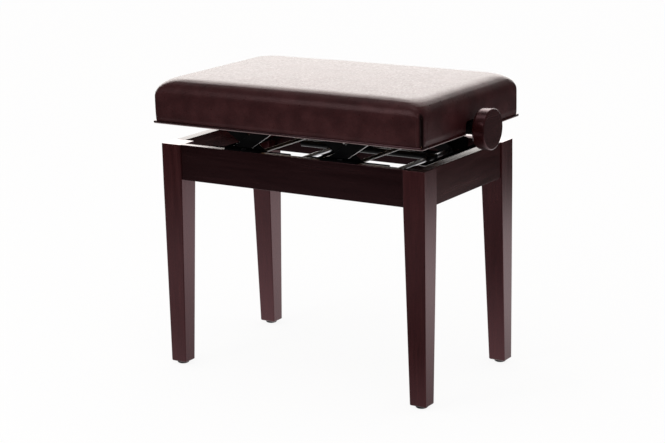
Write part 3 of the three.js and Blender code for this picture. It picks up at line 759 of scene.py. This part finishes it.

# Cushion
# Foam under a grained dark red-brown cover, drawn down over the rails and nailed below. The sides
# lean out a little from the trim, the top edge is a full roll, and the cover is folded at each corner,
# with painted shade darkening each fold's groove.
cover_colour = (0.034, 0.0088, 0.0096, 1)
cover_dark = (0.024, 0.0058, 0.0065, 1)
cover_light = (0.048, 0.014, 0.0148, 1)
cover_tint = (1, 0.66, 0.68, 1)
cover_shine = 0.32
valley_tone = (0.72, 0.7, 0.7, 1)
valley_share = 0.8
painted_crease_tone = (0.1, 0.04, 0.04, 1)
side_lean = 0.6 * mm
middle_lean_share = 0.3
tuck = 0.5 * mm
tuck_height = 5 * mm
low_corner = 8 * mm
roll_width = 28 * mm
roll_height = 27 * mm
roll_steps = 8
crown = 2.2 * mm
crown_room = 3.3 * mm
crown_level_shares = (0.8, 0.55, 0.28)
corner_radius = 10 * mm
corner_steps = 5
edge_rise_x = 1.6 * mm
edge_rise_y = 0.6 * mm
voxel = 4.8 * mm
spare = 9 * mm
swell_cap = 0.3 * mm
swell_frames = 20
swell_pressure = 2.0
fold_depth = 1.7 * mm
fold_width = 2.3 * mm
fold_bulge = 1.0 * mm
fold_bulge_width = 4 * fold_width
fold_flap = 1.6 * mm
fold_flap_width = 2 * fold_width
fold_flap_place = 2.6 * fold_width
fold_gather = 0.8 * mm
fold_gather_width = 3 * fold_width
fold_top = 508 * mm
fold_fade = 9 * mm
fold_reach = 0.5 * corner_radius
fold_zone = 20 * mm
painted_crease_width = 4.2 * mm
cover_waviness = 0.3 * mm
slow_waves = 14
quick_waves = 33
quick_wave_share = 0.5
recess_gap = 0.3 * mm
cut_overrun = 10 * mm
notch_half_width = 22 * mm
notch_half_depth = 30 * mm
notch_top = 468 * mm
notch_round = 6 * mm
cover_corner = math.radians(40)

low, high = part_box("cushion")
seat_middle = (low + high) / 2
half_x = (high.x - low.x) / 2
half_y = (high.y - low.y) / 2
flat_top = high.z - crown_room
roll_start = flat_top - roll_height


def cover_outline(shape, reach_x, reach_y, corner, height):
    """One level of the cover: a rectangle with round corners, as a loop of edges."""
    grid = bmesh.ops.create_grid(shape, x_segments=1, y_segments=1, size=1)["verts"]
    bmesh.ops.scale(shape, vec=(reach_x, reach_y, 1), verts=grid)
    bmesh.ops.translate(shape, vec=(seat_middle.x, seat_middle.y, height), verts=grid)
    made = bmesh.ops.bevel(
        shape,
        geom=grid,
        offset=corner,
        offset_type="OFFSET",
        affect="VERTICES",
        segments=corner_steps,
        profile=0.5,
        material=-1,
    )
    face = made["verts"][0].link_faces[0]
    loop = list(face.edges)
    bmesh.ops.delete(shape, geom=[face], context="FACES_ONLY")
    return loop


def cover_levels():
    """The cover's levels from the trim to the crown, as its reach, corner and height."""
    levels = []
    for inset, corner, height in (
        (side_lean + 2 * tuck, low_corner, low.z - spare),
        (side_lean + tuck, low_corner, low.z),
        (side_lean, low_corner, low.z + tuck_height),
        (middle_lean_share * side_lean, (low_corner + corner_radius) / 2, (low.z + roll_start) / 2),
        (0, corner_radius, roll_start),
    ):
        levels.append((half_x - inset, half_y - inset, corner, height))
    for step in range(1, roll_steps + 1):
        angle = math.pi / 2 * step / roll_steps
        inset = roll_width * (1 - math.cos(angle))
        height = roll_start + roll_height * math.sin(angle)
        levels.append((half_x - inset, half_y - inset, corner_radius + inset, height))
    for share in crown_level_shares:
        reach_x = (half_x - roll_width) * share
        reach_y = (half_y - roll_width) * share
        corner = (corner_radius + roll_width) * share
        levels.append((reach_x, reach_y, corner, flat_top + crown * (1 - share**2)))
    return levels


cushion = bmesh.new()
loops = [cover_outline(cushion, *level) for level in cover_levels()]
for below, above in zip(loops, loops[1:]):
    bmesh.ops.bridge_loops(cushion, edges=below + above)
bmesh.ops.edgeloop_fill(cushion, edges=loops[0])
bmesh.ops.edgeloop_fill(cushion, edges=loops[-1])
bmesh.ops.recalc_face_normals(cushion, faces=cushion.faces)
cover_mesh = bpy.data.meshes.new("cushion_cover")
cushion.to_mesh(cover_mesh)
cushion.free()
cover = bpy.data.objects.new("cushion_cover", cover_mesh)
bpy.context.scene.collection.objects.link(cover)


def applied(piece):
    """Makes a piece's modifiers part of its mesh."""
    graph = bpy.context.evaluated_depsgraph_get()
    mesh = bpy.data.meshes.new_from_object(piece.evaluated_get(graph))
    piece.modifiers.clear()
    old = piece.data
    piece.data = mesh
    bpy.data.meshes.remove(old)


remesh = cover.modifiers.new("remesh", "REMESH")
remesh.mode = "VOXEL"
remesh.voxel_size = voxel
remesh.use_smooth_shade = True
applied(cover)

rest_places = [v.co.copy() for v in cover.data.vertices]
nailed = cover.vertex_groups.new(name="nailed edge")
nailed.add([v.index for v in cover.data.vertices if v.co.z < low.z + voxel], 1.0, "REPLACE")
cloth = cover.modifiers.new("cloth", "CLOTH")
cloth.settings.quality = 5
cloth.settings.mass = 0.4
cloth.settings.tension_stiffness = 25
cloth.settings.compression_stiffness = 25
cloth.settings.bending_stiffness = 1.5
cloth.settings.use_pressure = True
cloth.settings.uniform_pressure_force = swell_pressure
cloth.settings.vertex_group_mass = nailed.name
cloth.settings.effector_weights.gravity = 0
cloth.point_cache.frame_start = 1
cloth.point_cache.frame_end = swell_frames
for step in range(1, swell_frames + 1):
    bpy.context.scene.frame_set(step)
applied(cover)
bpy.context.scene.frame_set(1)
for vertex, rest in zip(cover.data.vertices, rest_places):
    move = vertex.co - rest
    if move.length > swell_cap:
        vertex.co = rest + move.normalized() * swell_cap


def near_corner(edge):
    """Whether an edge lies where the cover is folded, round one of the four upright corners."""
    place = (edge.verts[0].co + edge.verts[1].co) / 2 - seat_middle
    return abs(place.x) > half_x - fold_zone and abs(place.y) > half_y - fold_zone


def from_fold(point):
    """The way out of a point's nearest upright corner, and its distances round that corner and out."""
    sign_x = math.copysign(1, point.x - seat_middle.x)
    sign_y = math.copysign(1, point.y - seat_middle.y)
    corner_x = seat_middle.x + sign_x * (half_x - corner_radius)
    corner_y = seat_middle.y + sign_y * (half_y - corner_radius)
    away = Vector((point.x - corner_x, point.y - corner_y, 0))
    out = Vector((sign_x, sign_y, 0)).normalized()
    round_it = Vector((sign_x, -sign_y, 0)).normalized()
    return out, away.dot(round_it), away.dot(out)


def fold_share(height):
    """How much of the fold shows at a height. It fades out on the roll."""
    return min(max((fold_top - height) / fold_fade, 0), 1)


def faded(distance, width):
    """How much of a form is left at a distance from its middle."""
    return math.exp(-((distance / width) ** 2))


shape = bmesh.new()
shape.from_mesh(cover.data)
bmesh.ops.subdivide_edges(shape, edges=shape.edges, cuts=1, use_grid_fill=True, smooth=0.0)
for _ in range(2):
    corner_edges = [e for e in shape.edges if near_corner(e)]
    bmesh.ops.subdivide_edges(shape, edges=corner_edges, cuts=1, use_grid_fill=True, smooth=0.0)
bmesh.ops.triangulate(shape, faces=[f for f in shape.faces if len(f.verts) > 4])
shape.normal_update()
for vertex in shape.verts:
    place = vertex.co - seat_middle
    raised_share = min(max((vertex.co.z - roll_start) / roll_height, 0), 1)
    bow = edge_rise_x * (1 - (place.x / half_x) ** 2) + edge_rise_y * (1 - (place.y / half_y) ** 2)
    slow = noise.noise(vertex.co * slow_waves) + quick_wave_share * noise.noise(vertex.co * quick_waves)
    vertex.co += vertex.normal * slow * cover_waviness
    vertex.co.z += raised_share * bow
    out, along, away = from_fold(vertex.co)
    if away > fold_reach:
        groove = faded(along, fold_width) * fold_depth
        flap = faded(along + fold_flap_place, fold_flap_width) * fold_flap
        bulge = faded(along, fold_bulge_width) * fold_bulge
        gather = faded(vertex.co.z - fold_top, fold_fade) * faded(along, fold_gather_width) * fold_gather
        vertex.co += out * (fold_share(vertex.co.z) * (flap + bulge - groove) - gather)
shape.to_mesh(cover.data)
shape.free()

shape = bmesh.new()
shape.from_mesh(cover.data)
cut_off = bmesh.ops.bisect_plane(
    shape, geom=whole(shape), plane_co=(0, 0, low.z), plane_no=(0, 0, 1), clear_inner=True
)
rim = [e for e in cut_off["geom_cut"] if isinstance(e, bmesh.types.BMEdge)]
bmesh.ops.edgeloop_fill(shape, edges=rim)
shape.to_mesh(cover.data)
shape.free()

recess_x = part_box("seat_rail_right")[1].x + recess_gap
recess_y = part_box("seat_rail_back")[1].y + recess_gap
recess_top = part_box("seat_board")[1].z + recess_gap
cut_start = low.z - cut_overrun
hollow = block_between(
    Vector((2 * seat_middle.x - recess_x, -recess_y, cut_start)), Vector((recess_x, recess_y, recess_top))
)
notch = block_between(
    Vector((recess_x - notch_half_depth, -notch_half_width, cut_start)),
    Vector((recess_x + notch_half_depth, notch_half_width, notch_top)),
)
notch_corners = [e for e in edges_along(notch, 0) if e.verts[0].co.z > notch_top - same_place]
eased(notch, notch_corners, notch_round, steps=5)
for cutter_name, cutter_shape in (("hollow", hollow), ("notch", notch)):
    cutter_mesh = bpy.data.meshes.new(cutter_name)
    cutter_shape.to_mesh(cutter_mesh)
    cutter_shape.free()
    cutter = bpy.data.objects.new(cutter_name, cutter_mesh)
    bpy.context.scene.collection.objects.link(cutter)
    boolean = cover.modifiers.new("cut", "BOOLEAN")
    boolean.operation = "DIFFERENCE"
    boolean.solver = "EXACT"
    boolean.object = cutter
    applied(cover)
    bpy.data.objects.remove(cutter)

shape = bmesh.new()
shape.from_mesh(cover.data)
for edge in shape.edges:
    edge.smooth = len(edge.link_faces) == 2 and edge.calc_face_angle(0) < cover_corner
for face in shape.faces:
    face.smooth = True
# A per-point share of painted shade along each corner fold's groove.
painted_crease_shade = shape.verts.layers.float.new("painted_crease_shade")
for vertex in shape.verts:
    _, along, away = from_fold(vertex.co)
    if away > fold_reach:
        vertex[painted_crease_shade] = fold_share(vertex.co.z) * faded(along, painted_crease_width)
shape.to_mesh(cover.data)
shape.free()

leather, tree, shader = new_material("grained cover")
pebble = tree.nodes.new("ShaderNodeTexVoronoi")
pebble.feature = "SMOOTH_F1"
pebble.inputs["Scale"].default_value = 620
pebble.inputs["Smoothness"].default_value = 0.35
where = tree.nodes.new("ShaderNodeTexCoord")
linked(tree, where.outputs["Object"], pebble.inputs["Vector"])
pebbles = pebble.outputs["Distance"]
blotch = noise_on(tree, evenly, size=34, detail=5)
fine = noise_on(tree, evenly, size=260, detail=4, rough=0.65)
# The crease attribute darkens the cover's colour in the fold grooves: painted shade.
crease_shade = tree.nodes.new("ShaderNodeAttribute")
crease_shade.attribute_name = "painted_crease_shade"
colour = ramp(tree, blotch, (0.3, cover_dark), (0.5, cover_colour), (0.72, cover_light))
valleys = ramp(tree, pebbles, (0.25, full_tone), (0.75, valley_tone))
painted_creases = ramp(tree, crease_shade.outputs["Fac"], (0.15, full_tone), (0.75, painted_crease_tone))
colour = tinted(tree, tinted(tree, colour, valleys, valley_share), painted_creases, 1)
linked(tree, colour, shader.inputs["Base Color"])
linked(tree, spread(tree, fine, 0.26, 0.4), shader.inputs["Roughness"])
shader.inputs["Specular IOR Level"].default_value = cover_shine
shader.inputs["Specular Tint"].default_value = cover_tint
raised(tree, shader, blotch, depth=0.6 * mm, strength=0.5)
raised(tree, shader, fine, depth=0.25 * mm, strength=0.6)
raised(tree, shader, pebbles, depth=0.22 * mm, strength=0.5)
cover.data.materials.clear()
cover.data.materials.append(leather)
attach(cover, "seat")
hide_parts("cushion")

# Floor
# A plain white sweep. The camera sees it white, with a faint shadow under the feet. Glossy surfaces
# see the part of it near the bench, brighter behind and on the left than in front, and dark beyond.
floor_reach = 9.0
paper_colour = (1.0, 0.97, 0.96, 1)
white = (1, 1, 1, 1)
camera_white_share = 0.9

floor_shape = bmesh.new()
bmesh.ops.create_grid(floor_shape, x_segments=1, y_segments=1, size=floor_reach)
floor_mesh = bpy.data.meshes.new("floor")
floor_shape.to_mesh(floor_mesh)
floor_shape.free()
floor = bpy.data.objects.new("floor", floor_mesh)
bpy.context.scene.collection.objects.link(floor)


def reckoned(tree, way, first, second):
    """The sum or the product of two values."""
    step = tree.nodes.new("ShaderNodeMath")
    step.operation = way
    linked(tree, first, step.inputs[0])
    linked(tree, second, step.inputs[1])
    return step.outputs["Value"]


def mixed(tree, share, first, second):
    """The first shader where the share is 0, and the second where it is 1."""
    mixer = tree.nodes.new("ShaderNodeMixShader")
    linked(tree, share, mixer.inputs["Fac"])
    linked(tree, first, mixer.inputs[1])
    linked(tree, second, mixer.inputs[2])
    return mixer.outputs[0]


paper = bpy.data.materials.new("white paper")
paper.use_nodes = True
tree = paper.node_tree
tree.nodes.clear()
out = tree.nodes.new("ShaderNodeOutputMaterial")
path = tree.nodes.new("ShaderNodeLightPath")
matte = tree.nodes.new("ShaderNodeBsdfDiffuse")
matte.inputs["Color"].default_value = paper_colour
bright = tree.nodes.new("ShaderNodeEmission")
bright.inputs["Color"].default_value = white
seen = tree.nodes.new("ShaderNodeMixShader")
seen.inputs["Fac"].default_value = camera_white_share
linked(tree, matte.outputs[0], seen.inputs[1])
linked(tree, bright.outputs[0], seen.inputs[2])
where = tree.nodes.new("ShaderNodeTexCoord")
axes = tree.nodes.new("ShaderNodeSeparateXYZ")
linked(tree, where.outputs["Object"], axes.inputs["Vector"])
away = tree.nodes.new("ShaderNodeVectorMath")
away.operation = "LENGTH"
linked(tree, where.outputs["Object"], away.inputs[0])
behind = spread(tree, axes.outputs["Y"], 0.12, 1.35, start=-0.4, end=0.45)
leftwards = spread(tree, axes.outputs["X"], 0.4, 0.0, start=-0.6, end=0.0)
nearby = spread(tree, away.outputs["Value"], 1.0, 0.06, start=1.15, end=1.7)
glow = reckoned(tree, "MULTIPLY", reckoned(tree, "ADD", behind, leftwards), nearby)
mirrored = tree.nodes.new("ShaderNodeEmission")
linked(tree, glow, mirrored.inputs["Strength"])
for_gloss = mixed(tree, path.outputs["Is Glossy Ray"], matte.outputs[0], mirrored.outputs[0])
for_camera = mixed(tree, path.outputs["Is Camera Ray"], for_gloss, seen.outputs[0])
linked(tree, for_camera, out.inputs["Surface"])
floor_mesh.materials.append(paper)

# Studio light
# White for the camera, and an even soft light on every finish. Glossy finishes show a bright screen
# low behind the bench, on the side away from the knob, in a dim room, and a soft box in front.
even_level = 1.1
room_level = 0.12
glow_level = 4.1
low_glow_share = 0.5
glow_colour = (1, 0.965, 0.93, 1)
glow_towards = Vector((-0.545, 0.80, 0.25)).normalized()
glow_edge = math.cos(math.radians(46))
glow_middle = math.cos(math.radians(20))

world = bpy.data.worlds.new("studio")
bpy.context.scene.world = world
world.use_nodes = True
tree = world.node_tree
tree.nodes.clear()
out = tree.nodes.new("ShaderNodeOutputWorld")
path = tree.nodes.new("ShaderNodeLightPath")
where = tree.nodes.new("ShaderNodeTexCoord")
facing = tree.nodes.new("ShaderNodeVectorMath")
facing.operation = "DOT_PRODUCT"
facing.inputs[1].default_value = glow_towards
linked(tree, where.outputs["Generated"], facing.inputs[0])
glow = tree.nodes.new("ShaderNodeMapRange")
glow.interpolation_type = "SMOOTHSTEP"
glow.inputs["From Min"].default_value = glow_edge
glow.inputs["From Max"].default_value = glow_middle
glow.inputs["To Min"].default_value = room_level
glow.inputs["To Max"].default_value = glow_level
linked(tree, facing.outputs["Value"], glow.inputs["Value"])
height = tree.nodes.new("ShaderNodeSeparateXYZ")
linked(tree, where.outputs["Generated"], height.inputs["Vector"])
low_dimming = spread(tree, height.outputs["Z"], low_glow_share, 1.0, start=0.02, end=0.24)
screen = reckoned(tree, "MULTIPLY", glow.outputs["Result"], low_dimming)
shown = tree.nodes.new("ShaderNodeBackground")
shown.inputs["Color"].default_value = glow_colour
linked(tree, screen, shown.inputs["Strength"])
even = tree.nodes.new("ShaderNodeBackground")
even.inputs["Strength"].default_value = even_level
plain = tree.nodes.new("ShaderNodeBackground")
plain.inputs["Strength"].default_value = 1
plain.inputs["Color"].default_value = white
lit = mixed(tree, path.outputs["Is Glossy Ray"], even.outputs[0], shown.outputs[0])
linked(tree, mixed(tree, path.outputs["Is Camera Ray"], lit, plain.outputs[0]), out.inputs["Surface"])


def soft_box(name, place, aim, width, height, power):
    """A rectangular lamp that the camera doesn't see."""
    lamp = bpy.data.objects.new(name, bpy.data.lights.new(name, "AREA"))
    lamp.data.shape = "RECTANGLE"
    lamp.data.size = width
    lamp.data.size_y = height
    lamp.data.energy = power
    lamp.location = place
    lamp.rotation_euler = (Vector(place) - Vector(aim)).to_track_quat("Z", "Y").to_euler()
    lamp.visible_camera = False
    bpy.context.scene.collection.objects.link(lamp)


soft_box("front soft box", (-0.85, -1.75, 1.45), aim=(0.15, -0.15, 0.5), width=0.5, height=0.6, power=4.2)
soft_box("overhead soft box", (-0.4, -0.6, 2.8), aim=(0.0, 0.0, 0.4), width=1.4, height=1.0, power=5)
